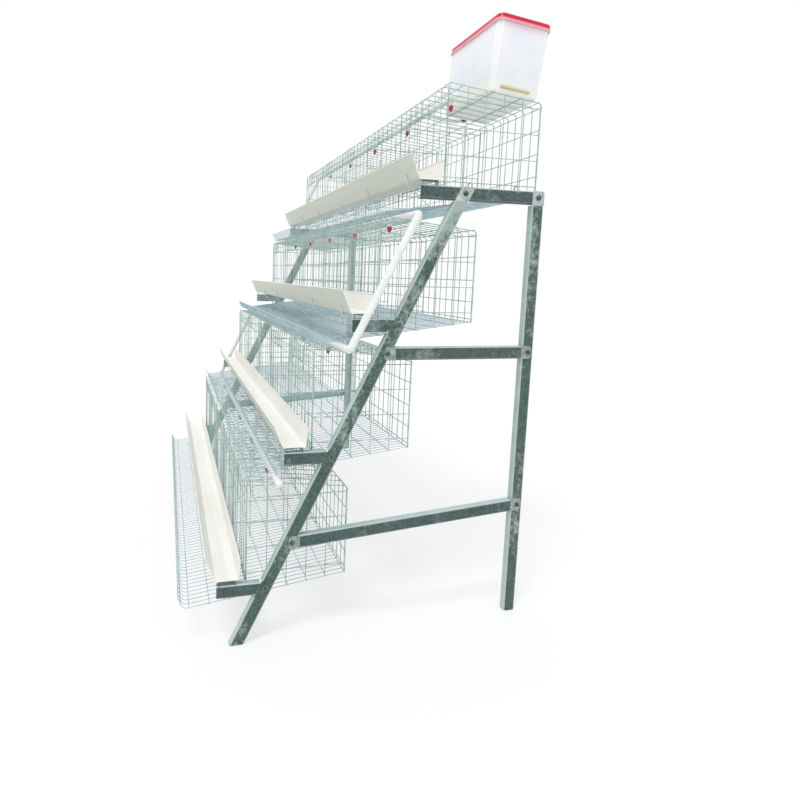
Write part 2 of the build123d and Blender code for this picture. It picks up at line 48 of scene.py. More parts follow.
# Wire nets
tier_count = 4
compartment_count = 5
net_wire = 0.0025
rail_wire = 0.003
wire_radius = 0.0016
floor_radius = 0.0013
bar_radius = 0.0016
bend_radius = 0.014
front_gaps = 8  # between the uprights of one compartment
floor_gaps = 16  # between the wires of its floor
partition_gaps = 5
egg_gap = 0.055  # under the front net
upper_rail_drop = 0.038
door_rail_drop = 0.070
low_rail_height = 0.020
partition_bar_heights = (0.020, 0.110, 0.200, 0.290)
roof_bar_places = (0.012, 0.060, 0.175, 0.285, 0.354)
rear_bar_drops = (0.014, 0.090, 0.174, 0.252)
rear_bar_above_floor = 0.008
floor_bar_count = 9
floor_slope = math.radians(7.6)
roof_slope = math.radians(6.25)
floor_rear_drop = 0.012
tray_reach = 0.210
tray_bend = 0.020
lip_height = 0.040
lip_lean = 0.020
wire_sides = 8

# Doors
door_first_gap = 1
door_gap_count = 4
seat_clearance = 0.0003  # between pieces that rest on each other

# Troughs
trough_floor_width = 0.080
trough_front_flare = 0.034
trough_rear_flare = 0.007
trough_front_height = 0.080
trough_rear_height = 0.066
trough_wall = 0.0025
trough_corner = 0.004
trough_bead = 0.0026
bead_sides = 10
hook_radius = 0.002
hook_bend = 0.012
hook_corner_inset = 0.011
hook_corner_rise = 0.64  # of the hook's height
rest_strap = 0.003
rest_bend = 0.004

# Frames
channel_web = 0.046
sheet = 0.002
fold = 0.006
fit_gap = 0.004
tab_margin = 0.005
tab_corner = 0.006
washer_radius = 0.0105
washer_thickness = 0.0015
bolt_chamfer = 0.001
bolt_top_share = 0.82  # of the head's half width
bolt_end_shares = (0.45, 0.42)
bolt_end_proud = 0.0016
bolt_end_sides = 16
hex_sides = 6
round_sides = 24  # of washers and other small turned forms
hanger_radius = 0.0025
hanger_bend = 0.006

# Water line
bend_arm = 0.030
pipe_bend = 0.034
pipe_sides = 28
plug_steps = 8
saddle_share = 0.34  # of a nipple's length, the white adapter at its top
# Along and across, as shares of the nipple's red part
nipple_profile = (
    (0.0, 0.30),
    (0.0, 0.52),
    (0.30, 0.62),
    (0.34, 0.92),
    (0.42, 1.0),
    (0.86, 1.0),
    (0.94, 0.92),
    (1.0, 0.7),
)
saddle_profile = ((0.0, 0.66), (0.3, 0.8), (0.8, 1.0), (1.0, 1.0))
pin_tip = 0.0006
pin_tip_share = 0.6  # of the pin's radius
pin_shoulder = 0.0004
pin_shoulder_share = 0.7
pin_sides = 14

# Tank
tank_length = 0.330
tank_depth = 0.190
tank_height = 0.250
tank_place = 0.158
tank_spread = math.tan(math.radians(1.4))
tank_wall = 0.003
tank_corner = 0.014
tank_corner_least = 0.002
tank_corner_steps = 8
# Height and growth of the outline round the base
tank_foot = ((0.0, -0.012), (0.0006, -0.006), (0.003, -0.0014), (0.008, 0.0))
tank_rim = 0.004
tank_rim_inset = 0.001
grip_height = 0.022
grip_half = 0.048
grip_reach = 0.011
# How far the grip stands out of the wall, and its half height there
grip_section = ((-0.001, grip_reach), (0.0008, grip_reach), (0.0012, 0.0102), (0.0002, 0.0092))
grip_sides = 24
lid_drop = 0.014
lid_thickness = 0.010
lid_gap = 0.001  # round the tank's rim
lid_seat = 0.0005  # above it
# Height from the skirt's lower edge, and reach beyond the tank's rim
lid_bead = ((-0.0004, 0.0035), (0.0015, 0.0055), (0.0045, 0.0055), (0.0065, 0.0035))
# Height from the lid's top, and reach beyond the rim: shoulder, sunk panel and its raised middle
lid_shoulder = ((-0.006, 0.0032), (-0.002, 0.0018), (0.0, -0.002), (0.0, -0.012))
lid_panel = ((-0.003, -0.015), (-0.003, -0.050), (-0.001, -0.053))
outlet_radius = 0.008
outlet_sides = 20
outlet_nut = 0.0127
outlet_nut_length = 0.012
outlet_nut_chamfer = 0.0015
outlet_nut_top_share = 0.85
outlet_flange = 0.003
outlet_flange_spread = 1.1
outlet_run = 0.046
outlet_bend = 0.025
outlet_ring_back = 0.012
outlet_ring_length = 0.011
outlet_ring_spread = 1.35

# Places read from the frame
shell_low, shell_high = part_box("shell_net_1")
cage_depth = shell_high.y - shell_low.y - 2 * rail_wire
half_length = shell_high.x - net_wire / 2
leg_low, leg_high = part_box("front_leg_near")
half_span = leg_high.x
channel_flange = leg_high.x - leg_low.x
tank_x = (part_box("water_tank")[0].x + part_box("water_tank")[1].x) / 2


def tier_origin(tier):
    """Front of a tier's cages at the top of its arms."""
    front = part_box(f"shell_net_{tier}")[0].y + rail_wire
    arm_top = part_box(f"floor_net_{tier}")[1].z + floor_rear_drop
    return Vector((0, front, arm_top))


tiers = range(1, tier_count + 1)
origins = {tier: tier_origin(tier) for tier in tiers}
roof_rise = rail_wire * math.cos(roof_slope)
front_top = shell_high.z - roof_rise - origins[1].z
compartment_width = 2 * half_length / compartment_count
pitch = compartment_width / front_gaps
leg_slope = (origins[1].y - origins[2].y) / (origins[1].z - origins[2].z)
leg_width = channel_web * math.sqrt(1 + leg_slope ** 2)


def floor_z(y):
    """Top of the floor at a depth behind the front, from the tier's origin."""
    return -floor_rear_drop - (cage_depth - y) * math.tan(floor_slope)


def roof_z(y):
    """Top of the roof's cross wires at a depth behind the front, from the tier's origin."""
    return front_top - y * math.tan(roof_slope)


def leg_y(z):
    """Front edge of a leg at a height above the ground."""
    return leg_low.y + z * leg_slope


def wire_places(gaps):
    """Places along the cage, with a number of gaps to each compartment."""
    count = compartment_count * gaps
    return [-half_length + 2 * half_length * n / count for n in range(count + 1)]


walls = wire_places(1)


def solids(node):
    """Boxes of the separate solids of a CAD node, in a fixed order."""
    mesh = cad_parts[node].data
    group = {}

    def top(key):
        while group[key] != key:
            key = group[key]
        return key

    for polygon in mesh.polygons:
        keys = [tuple(round(c, 5) for c in mesh.vertices[v].co) for v in polygon.vertices]
        for key in keys:
            group.setdefault(key, key)
            group[top(key)] = top(keys[0])
    boxes = {}
    for key in group:
        boxes.setdefault(top(key), []).append(Vector(key))
    found = []
    for points in boxes.values():
        low = Vector([min(p[n] for p in points) for n in range(3)])
        high = Vector([max(p[n] for p in points) for n in range(3)])
        found.append((low, high))
    return sorted(found, key=lambda box: tuple(round(c, 4) for c in box[0]))


# Mesh helpers


class Shape:
    """Points and faces of one piece."""

    def __init__(self):
        self.points = []
        self.faces = []

    def loft(self, loops):
        """Joins loops of equal count into a skin, with flat ends."""
        first = len(self.points)
        count = len(loops[0])
        for loop in loops:
            self.points.extend(loop)
        for n in range(len(loops) - 1):
            for k in range(count):
                a = first + n * count + k
                b = first + n * count + (k + 1) % count
                self.faces.append((a, b, b + count, a + count))
        last = first + (len(loops) - 1) * count
        self.faces.append(tuple(range(first + count - 1, first - 1, -1)))
        self.faces.append(tuple(range(last, last + count)))

    def tube(self, path, radius, sides=wire_sides):
        """A round bar along a path."""
        path = [Vector(point) for point in path]
        side = (path[1] - path[0]).orthogonal().normalized()
        loops = []
        for n, point in enumerate(path):
            along = (path[min(n + 1, len(path) - 1)] - path[max(n - 1, 0)]).normalized()
            side = (side - along * side.dot(along)).normalized()
            loops.append(circle(point, side, along.cross(side), radius, sides))
        self.loft(loops)

    def turned(self, base, axis, profile, sides):
        """A turned form: a profile of (distance along the axis, radius)."""
        axis = Vector(axis).normalized()
        side = axis.orthogonal().normalized()
        up = axis.cross(side)
        self.loft([circle(Vector(base) + axis * h, side, up, r, sides) for h, r in profile])

    def disc(self, base, axis, length, radius):
        self.turned(base, axis, [(0, radius), (length, radius)], round_sides)

    def swept(self, outline, place, ends):
        """An outline of (a, b) pairs, put by place(a, b, end) at each of the ends."""
        self.loft([[place(a, b, end) for a, b in outline] for end in ends])


def circle(centre, side, up, radius, sides):
    turns = [2 * math.pi / sides * k for k in range(sides)]
    return [centre + (side * math.cos(turn) + up * math.sin(turn)) * radius for turn in turns]


def along_x(y, z, x):
    """Places a point of a (y, z) outline at a distance along the cage."""
    return Vector((x, y, z))


def rounded(points, radius, steps=4):
    """A path with its inner corners rounded."""
    points = [Vector(point) for point in points]
    path = [points[0]]
    for before, corner, after in zip(points, points[1:], points[2:]):
        back = before - corner
        ahead = after - corner
        turn = math.pi - back.angle(ahead)
        reach = min(radius * math.tan(turn / 2), back.length * 0.49, ahead.length * 0.49)
        start = corner + back.normalized() * reach
        end = corner + ahead.normalized() * reach
        for n in range(steps + 1):
            share = n / steps
            path.append(start.lerp(corner, share).lerp(corner.lerp(end, share), share))
    path.append(points[-1])
    return path


def rounded_outline(points, radius, steps=4):
    """Like rounded(), for (a, b) pairs."""
    return [(p.x, p.y) for p in rounded([(a, b, 0) for a, b in points], radius, steps)]


def piece(name, shape, finish, slot, body, *nodes, sharp=40):
    """Makes a mesh object that rides on a body and stands for CAD nodes."""
    mesh = bpy.data.meshes.new(name)
    mesh.from_pydata([tuple(point) for point in shape.points], [], shape.faces)
    work = bmesh.new()
    work.from_mesh(mesh)
    bmesh.ops.recalc_face_normals(work, faces=work.faces)
    work.to_mesh(mesh)
    work.free()
    mesh.shade_smooth()
    mesh.set_sharp_from_angle(angle=math.radians(sharp))
    mesh.materials.append(finish)
    made = bpy.data.objects.new(name, mesh)
    bpy.context.scene.collection.objects.link(made)
    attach(made, body)
    if nodes:
        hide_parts(*nodes)


# Materials


class Finish:
    """A node material; textures follow the object's own coordinates."""

    def __init__(self, name, colour, roughness, metallic=0.0):
        self.material = bpy.data.materials.new(name)
        self.material.use_nodes = True
        self.tree = self.material.node_tree
        self.shader = self.tree.nodes["Principled BSDF"]
        self.set("Base Color", (*colour, 1))
        self.set("Roughness", roughness)
        self.set("Metallic", metallic)
        self.place = self.tree.nodes.new("ShaderNodeTexCoord").outputs["Object"]

    def set(self, socket, value):
        self.shader.inputs[socket].default_value = value

    def link(self, source, target):
        self.tree.links.new(source, target)

    def texture(self, kind, scale, stretch=(1, 1, 1), **values):
        """A noise or cell texture, stretched along the axes."""
        mapping = self.tree.nodes.new("ShaderNodeMapping")
        mapping.inputs["Scale"].default_value = stretch
        self.link(self.place, mapping.inputs["Vector"])
        node = self.tree.nodes.new(kind)
        node.inputs["Scale"].default_value = scale
        for socket, value in values.items():
            node.inputs[socket].default_value = value
        self.link(mapping.outputs["Vector"], node.inputs["Vector"])
        return node

    def noise(self, scale, stretch=(1, 1, 1), **values):
        return self.texture("ShaderNodeTexNoise", scale, stretch, **values).outputs["Fac"]

    def ramp(self, source, *stops):
        """Colours at places from 0 to 1."""
        node = self.tree.nodes.new("ShaderNodeValToRGB")
        elements = node.color_ramp.elements
        for element, (place, colour) in ((elements[0], stops[0]), (elements[1], stops[-1])):
            element.position = place
            element.color = (*colour, 1)
        for place, colour in stops[1:-1]:
            elements.new(place).color = (*colour, 1)
        self.link(source, node.inputs["Fac"])
        return node.outputs["Color"]

    def span(self, source, low, high, start=0.0, end=1.0):
        """From start to end as a value goes from low to high."""
        node = self.tree.nodes.new("ShaderNodeMapRange")
        node.inputs["From Min"].default_value = low
        node.inputs["From Max"].default_value = high
        node.inputs["To Min"].default_value = start
        node.inputs["To Max"].default_value = end
        self.link(source, node.inputs["Value"])
        return node.outputs["Result"]

    def height(self, direction, low, high):
        """0 to 1 between two distances along a direction."""
        node = self.tree.nodes.new("ShaderNodeVectorMath")
        node.operation = "DOT_PRODUCT"
        node.inputs[1].default_value = direction
        self.link(self.place, node.inputs[0])
        return self.span(node.outputs["Value"], low, high)

    def part(self, vector, axis):
        """One of a vector's X, Y and Z."""
        parts = self.tree.nodes.new("ShaderNodeSeparateXYZ")
        self.link(vector, parts.inputs["Vector"])
        return parts.outputs[axis]

    def normal(self, axis):
        return self.part(self.tree.nodes.new("ShaderNodeNewGeometry").outputs["Normal"], axis)

    def maths(self, operation, *sources):
        """A sum or the like of sockets and plain numbers."""
        node = self.tree.nodes.new("ShaderNodeMath")
        node.operation = operation
        for n, source in enumerate(sources):
            if isinstance(source, bpy.types.NodeSocket):
                self.link(source, node.inputs[n])
            else:
                node.inputs[n].default_value = source
        return node.outputs["Value"]

    def faces_end(self):
        """1 on faces square to the cage's length, 0 on the others."""
        return self.span(self.maths("ABSOLUTE", self.normal("X")), 0.92, 0.998)

    def faces_inward(self):
        """1 on faces that look from an end towards the cage's middle, 0 on the others."""
        outward = self.maths("SIGN", self.part(self.place, "X"))
        return self.span(self.maths("MULTIPLY", self.normal("X"), outward), -0.5, -0.9)

    def corner_edges(self):
        """Mask of the painted corner highlight: 1 along both edges of a rounded upright corner, less
        in its middle and 0 on the walls.
        """
        turn = self.maths("ABSOLUTE", self.maths("MULTIPLY", self.normal("X"), self.normal("Y")))
        corner = self.span(turn, 0.02, 0.12)
        middle = self.span(turn, 0.22, 0.42)
        return self.maths("MULTIPLY_ADD", middle, -0.7, corner)

    def faces_up(self, low=-0.06, high=-0.02):
        """0 on faces that look down, 1 on the others."""
        return self.span(self.normal("Z"), low, high)

    def mix(self, share, first, second, blend="MIX"):
        node = self.tree.nodes.new("ShaderNodeMix")
        node.data_type = "RGBA"
        node.blend_type = blend
        inputs = {socket.identifier: socket for socket in node.inputs}
        for socket, value in (("Factor_Float", share), ("A_Color", first), ("B_Color", second)):
            if isinstance(value, bpy.types.NodeSocket):
                self.link(value, inputs[socket])
            else:
                inputs[socket].default_value = value
        return {socket.identifier: socket for socket in node.outputs}["Result_Color"]

    def colour(self, source):
        self.link(source, self.shader.inputs["Base Color"])

    def vary_roughness(self, source, low, high):
        self.link(self.span(source, 0, 1, low, high), self.shader.inputs["Roughness"])

    def bump(self, source, distance, strength):
        node = self.tree.nodes.new("ShaderNodeBump")
        node.inputs["Strength"].default_value = strength
        node.inputs["Distance"].default_value = distance
        self.link(source, node.inputs["Height"])
        self.link(node.outputs["Normal"], self.shader.inputs["Normal"])


def galvanised_wire(name, dark, light):
    finish = Finish(name, light, 0.36, 0.55)
    patches = finish.noise(22.0, Detail=3.0)
    grain = finish.noise(900.0, Detail=2.0)
    finish.colour(finish.ramp(patches, (0.3, dark), (0.7, light)))
    finish.vary_roughness(grain, 0.28, 0.48)
    finish.bump(grain, 0.0002, 0.5)
    return finish.material


# Painted light: the paler tone painted on frame faces that look towards the cage's middle.
inside_painted_light = (0.47, 0.57, 0.59)
post_bloom = (1.12, 1.5)  # heights between which the bloom grows
leg_bloom = (1.28, 1.46)


# edge is the colour of the painted highlight on the folds and flanges; it also tints the bloom.
def galvanised_frame(
    name, dark, light, edge, bloom_rise=0.0, bloom_heights=post_bloom, speck_share=0.2
):
    """Hot-dip zinc: spangled webs with a bloom that grows higher up; the inside faces are painted
    paler, and a painted highlight lies on the folds and flanges that don't look down.
    """
    finish = Finish(name, light, 0.45, 0.35)
    spangle = finish.texture("ShaderNodeTexVoronoi", 170.0)
    patches = finish.noise(16.0, Detail=6.0, Roughness=0.65)
    bloom = finish.noise(4.0, (1, 1, 0.6), Detail=7.0, Roughness=0.7)
    specks = finish.noise(55.0, Detail=4.0, Roughness=0.7)
    zinc = finish.ramp(spangle.outputs["Color"], (0.2, dark), (0.8, light))
    cloud = finish.ramp(patches, (0.35, (0.72, 0.76, 0.77)), (0.6, (1.0, 1.0, 1.0)))
    dull = finish.mix(0.8, zinc, cloud, "MULTIPLY")
    upper = finish.height((0, 0, 1), *bloom_heights)
    speckled = finish.maths("MULTIPLY_ADD", specks, speck_share, bloom)
    raised = finish.maths("MULTIPLY_ADD", upper, bloom_rise, speckled)
    bloomed = finish.span(raised, 0.54 + speck_share / 2, 0.68 + speck_share / 2)
    pale = [(tone + 2 * fold_tone) / 3 for tone, fold_tone in zip(light, edge)]
    web = finish.mix(bloomed, dull, (*pale, 1))
    # Painted highlight on the folds and flanges, except where they look down.
    painted_highlight = finish.mix(0.5, (*edge, 1), cloud, "MULTIPLY")
    folds = finish.mix(finish.faces_up(-0.4, -0.25), dull, painted_highlight)
    # Painted light: faces that look towards the cage's middle are painted paler.
    inside = finish.mix(0.5, (*inside_painted_light, 1), cloud, "MULTIPLY")
    ends = finish.mix(finish.faces_inward(), web, inside)
    finish.colour(finish.mix(finish.faces_end(), folds, ends))
    finish.vary_roughness(patches, 0.3, 0.6)
    finish.bump(patches, 0.0005, 0.3)
    return finish.material


def bolt_steel(name, dark, light):
    finish = Finish(name, light, 0.34, 0.7)
    wear = finish.noise(160.0, Detail=5.0)
    finish.colour(finish.ramp(wear, (0.35, dark), (0.65, light)))
    finish.vary_roughness(wear, 0.25, 0.55)
    finish.bump(wear, 0.0002, 0.4)
    return finish.material


def trough_plastic():
    """Ivory plastic, streaked along its length and a little dusty, with painted shade on its outer
    faces that look down.
    """
    finish = Finish("trough_plastic", (0.90, 0.89, 0.85), 0.4)
    streaks = finish.noise(60.0, (0.03, 1, 1), Detail=5.0, Roughness=0.6)
    dust = finish.noise(7.0, (0.4, 1, 1), Detail=6.0)
    ivory = finish.ramp(
        streaks,
        (0.35, (0.87, 0.86, 0.82)),
        (0.55, (0.91, 0.905, 0.875)),
        (0.75, (0.93, 0.93, 0.91)),
    )
    stain = finish.ramp(dust, (0.35, (0.92, 0.91, 0.88)), (0.6, (1.0, 1.0, 1.0)))
    clean = finish.mix(0.6, ivory, stain, "MULTIPLY")
    # Painted shade: faces that look down are darkened to a grey-green tone.
    outside = finish.mix(1.0, clean, (0.69, 0.73, 0.66, 1), "MULTIPLY")
    finish.colour(finish.mix(finish.faces_up(), outside, clean))
    finish.vary_roughness(dust, 0.32, 0.55)
    finish.bump(streaks, 0.0004, 0.4)
    return finish.material


def pipe_plastic():
    dark = (0.76, 0.80, 0.78)
    light = (0.85, 0.88, 0.86)
    finish = Finish("pipe_plastic", (0.82, 0.86, 0.84), 0.3)
    cloud = finish.noise(26.0, Detail=4.0)
    finish.colour(finish.ramp(cloud, (0.35, dark), (0.65, light)))
    finish.vary_roughness(cloud, 0.22, 0.38)
    finish.bump(cloud, 0.0003, 0.25)
    return finish.material


def moulded_plastic(name, dark, light, roughness):
    """Coloured moulded plastic with a soft orange-peel surface."""
    finish = Finish(name, light, roughness)
    cloud = finish.noise(30.0, Detail=4.0)
    peel = finish.noise(600.0, Detail=1.0)
    finish.colour(finish.ramp(cloud, (0.35, dark), (0.65, light)))
    finish.vary_roughness(cloud, roughness * 0.8, roughness * 1.3)
    finish.bump(peel, 0.0001, 0.3)
    return finish.material


def banded_plastic(name, roughness, direction, low, high, *stops, painted_corner_highlight=0.0):
    """Thick translucent plastic in bands of colour, with an optional painted highlight along its
    rounded upright corners.
    """
    finish = Finish(name, stops[0][1], roughness)
    finish.set("Specular IOR Level", 0.25)
    finish.set("Subsurface Weight", 0.2)
    finish.set("Subsurface Radius", (0.02, 0.02, 0.025))
    finish.set("Subsurface Scale", 0.3)
    cloud = finish.noise(12.0, Detail=4.0)
    bands = finish.ramp(finish.height(direction, low, high), *stops)
    milky = finish.ramp(cloud, (0.3, (0.93, 0.94, 0.95)), (0.7, (1.0, 1.0, 1.0)))
    clouded = finish.mix(1.0, bands, milky, "MULTIPLY")
    if painted_corner_highlight:
        # Painted highlight: pale lines along both edges of the rounded corners.
        share = finish.maths("MULTIPLY", finish.corner_edges(), painted_corner_highlight)
        clouded = finish.mix(share, clouded, (1, 1, 1, 1))
    finish.colour(clouded)
    finish.vary_roughness(cloud, roughness * 0.8, roughness * 1.3)
    finish.bump(cloud, 0.0008, 0.2)
    return finish.material


wire_finish = galvanised_wire("galvanised_wire", (0.30, 0.42, 0.39), (0.52, 0.66, 0.62))
floor_finish = galvanised_wire("floor_wire", (0.34, 0.48, 0.52), (0.56, 0.70, 0.75))
hook_finish = galvanised_wire("hook_wire", (0.60, 0.66, 0.64), (0.80, 0.84, 0.82))
# In each set of tones below, the third is the colour of the painted highlight on the folds and
# flanges, which also tints the bloom.
upright_tones = ((0.055, 0.095, 0.082), (0.105, 0.165, 0.145), (0.50, 0.60, 0.56))
post_finish = galvanised_frame("post_frame", *upright_tones, bloom_rise=0.14, speck_share=0.45)
leg_finish = galvanised_frame(
    "leg_frame",
    *upright_tones,
    bloom_rise=0.18,
    bloom_heights=leg_bloom,
    speck_share=0.45,
)
level_tones = ((0.052, 0.088, 0.085), (0.092, 0.145, 0.140), (0.50, 0.60, 0.58))
level_finish = galvanised_frame("level_frame", *level_tones)
lug_finish = galvanised_frame("brace_lug", (0.24, 0.29, 0.275), (0.42, 0.48, 0.46), (0.62, 0.70, 0.67))
tab_finish = galvanised_frame("frame_tab", (0.38, 0.43, 0.42), (0.60, 0.65, 0.64), (0.72, 0.77, 0.76))
bolt_finish = bolt_steel("bolt_steel", (0.042, 0.062, 0.055), (0.13, 0.175, 0.16))
washer_finish = bolt_steel("washer_steel", (0.14, 0.18, 0.17), (0.26, 0.31, 0.29))
pin_finish = bolt_steel("pin_steel", (0.42, 0.43, 0.42), (0.68, 0.70, 0.68))
trough_finish = trough_plastic()
pipe_finish = pipe_plastic()
nipple_finish = moulded_plastic("nipple_plastic", (0.42, 0.01, 0.045), (0.60, 0.02, 0.07), 0.3)
outlet_finish = moulded_plastic("outlet_plastic", (0.012, 0.013, 0.014), (0.03, 0.032, 0.034), 0.45)


# Wire nets


def level_wire(shape, origin, y, z):
    """A bar along the whole cage."""
    end = half_length + net_wire / 2
    shape.tube([origin + Vector((-end, y, z)), origin + Vector((end, y, z))], bar_radius)


door_steps = range(door_first_gap + 1, door_first_gap + door_gap_count)
front_bottom = floor_z(0) + egg_gap
door_rail_z = front_top - door_rail_drop


def shell_net(tier):
    """Front, roof and rear of a tier: wires bent round two corners, welded to bars along the cage."""
    origin = origins[tier]
    shape = Shape()
    radius = net_wire / 2
    for n, x in enumerate(wire_places(front_gaps)):
        low = door_rail_z - rail_wire if n % front_gaps in door_steps else front_bottom
        corners = [
            (x, radius, low),
            (x, radius, roof_z(radius) - radius),
            (x, cage_depth - radius, roof_z(cage_depth) - radius),
            (x, cage_depth - radius, floor_z(cage_depth)),
        ]
        shape.tube(rounded([origin + Vector(c) for c in corners], bend_radius), wire_radius)
    bar = rail_wire / 2
    for z in (front_top - upper_rail_drop, door_rail_z, low_rail_height, front_bottom + bar):
        level_wire(shape, origin, -bar, z)
    for y in roof_bar_places:
        level_wire(shape, origin, y, roof_z(y) + bar)
    rear_heights = [roof_z(cage_depth) - drop for drop in rear_bar_drops]
    rear_heights.append(floor_z(cage_depth) + rear_bar_above_floor)
    for z in rear_heights:
        level_wire(shape, origin, cage_depth + bar, z)
    piece(f"wire_shell_{tier}", shape, wire_finish, "galvanised_wire", "cage", f"shell_net_{tier}")


def floor_net(tier):
    """Sloping floor whose wires curve up at the front into the lip of the egg tray."""
    origin = origins[tier]
    shape = Shape()
    radius = net_wire / 2
    lip_top = floor_z(-tray_reach) + lip_height
    for x in wire_places(floor_gaps):
        corners = [
            (x, cage_depth, floor_z(cage_depth) - radius),
            (x, -tray_reach, floor_z(-tray_reach) - radius),
            (x, -tray_reach - lip_lean + radius, lip_top),
        ]
        shape.tube(rounded([origin + Vector(c) for c in corners], tray_bend, steps=6), floor_radius)
    bar = rail_wire / 2
    run = cage_depth + tray_reach - tray_bend
    for n in range(floor_bar_count):
        y = cage_depth - bar - run * n / (floor_bar_count - 1)
        level_wire(shape, origin, y, floor_z(y) - net_wire - bar)
    level_wire(shape, origin, -tray_reach - lip_lean + bar, lip_top + bar)
    level_wire(shape, origin, -tray_reach - lip_lean / 2 - bar, lip_top - lip_height / 2)
    piece(f"wire_floor_{tier}", shape, floor_finish, "galvanised_wire", "cage", f"floor_net_{tier}")


def partitions(tier):
    """End panels and dividers."""
    origin = origins[tier]
    shape = Shape()
    first = net_wire * 1.5
    for x in walls:
        outward = 1 if x > 0 else -1
        for n in range(partition_gaps + 1):
            y = first + (cage_depth - 2 * first) * n / partition_gaps
            low = origin + Vector((x, y, floor_z(y)))
            high = origin + Vector((x, y, roof_z(y) - net_wire))
            shape.tube([low, high], wire_radius)
        for z in partition_bar_heights:
            side = x + outward * net_wire
            start = origin + Vector((side, net_wire, z))
            end = origin + Vector((side, cage_depth - net_wire, z))
            shape.tube([start, end], wire_radius)
    node = f"partitions_{tier}"
    piece(f"wire_{node}", shape, wire_finish, "galvanised_wire", "cage", node)


def door(tier, compartment):
    """A sliding door: uprights welded to two bars that ride on the rails."""
    node = f"door_{tier}_{compartment}"
    low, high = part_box(node)
    shape = Shape()
    for n in door_steps:
        x = walls[compartment - 1] + pitch * n
        y = low.y + net_wire / 2
        shape.tube([(x, y, low.z), (x, y, high.z)], wire_radius)
    for z in (low_rail_height, door_rail_z):
        height = origins[tier].z + z + rail_wire + seat_clearance
        y = high.y - rail_wire / 2
        shape.tube([(low.x, y, height), (high.x, y, height)], bar_radius)
    piece(f"wire_{node}", shape, wire_finish, "galvanised_wire", node, node)


# Feed troughs


def trough(tier):
    """An open channel with rounded lower corners and a rolled bead on each edge."""
    node = f"feed_trough_{tier}"
    low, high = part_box(node)
    half = trough_wall / 2
    floor_front = low.y + trough_front_flare
    floor_rear = floor_front + trough_floor_width
    middle = rounded_outline(
        [
            (low.y + half, low.z + trough_front_height),
            (floor_front + half, low.z + half),
            (floor_rear - half, low.z + half),
            (floor_rear + trough_rear_flare - half, low.z + trough_rear_height),
        ],
        trough_corner,
        steps=6,
    )
    inner, outer = [], []
    for n, (y, z) in enumerate(middle):
        before = middle[max(n - 1, 0)]
        after = middle[min(n + 1, len(middle) - 1)]
        along = Vector((after[0] - before[0], after[1] - before[1])).normalized()
        inner.append((y - along.y * half, z + along.x * half))
        outer.append((y + along.y * half, z - along.x * half))
    shape = Shape()
    shape.swept(outer + inner[::-1], along_x, (low.x, high.x))
    for y, z in (middle[0], middle[-1]):
        shape.tube([(low.x, y, z), (high.x, y, z)], trough_bead, bead_sides)
    piece(f"trough_{tier}", shape, trough_finish, "trough_plastic", "cage", node)


def trough_holders():
    """Bent straps on the arms, dark under the troughs where their shadow falls, and wire hooks under
    the troughs.
    """
    hooks = Shape()
    rests = Shape()

    def bridge(low, high, inset):
        """The strap's side as a path up, over and down."""
        front = low.y + inset
        rear = high.y - inset
        top = high.z - inset
        path = [(front, low.z), (front, top), (rear, top), (rear, low.z)]
        return rounded_outline(path, rest_bend - inset)

    for low, high in solids("trough_holders"):
        wider_than_a_wire = high.x - low.x > 4 * hook_radius
        if wider_than_a_wire:
            outline = bridge(low, high, 0.0) + bridge(low, high, rest_strap)[::-1]
            rests.swept(outline, along_x, (low.x, high.x))
        else:
            x = (low.x + high.x) / 2
            foot = Vector((x, high.y - 3 * hook_radius, low.z + hook_radius))
            corner_z = low.z + (high.z - low.z) * hook_corner_rise
            corner = Vector((x, low.y + hook_corner_inset, corner_z))
            tip = Vector((x, low.y + hook_radius, high.z))
            hooks.tube(rounded([foot, corner, tip], hook_bend, steps=6), hook_radius)
    piece("trough_hooks", hooks, hook_finish, "galvanised_wire", "cage", "trough_holders")
    # Painted shade: the dark rest straps stand where the troughs' shadow falls on the arms, and they
    # also hold the troughs up.
    piece("trough_rests", rests, level_finish, "galvanised_wire", "cage")


# Frames


def channel_outline(web, flange, flanges=(True, True)):
    """Folded C section as (inwards from the web's outer face, along the web)."""
    outer = [(0, 0), (0, web)]
    inner = [(sheet, web), (sheet, 0)]
    if flanges[0]:
        outer = [(flange, 0)] + outer
        inner = [inner[0], (sheet, sheet), (flange, sheet)]
    if flanges[1]:
        outer = outer + [(flange, web)]
        inner = [(flange, web - sheet), (sheet, web - sheet)] + inner[1:]
    return rounded_outline(outer, fold) + rounded_outline(inner, fold - sheet)


def tab_outline(length, width):
    """Flat strip with cut corners at its far end."""
    return [
        (0, 0),
        (length - tab_corner, 0),
        (length, tab_corner),
        (length, width - tab_corner),
        (length - tab_corner, width),
        (0, width),
    ]


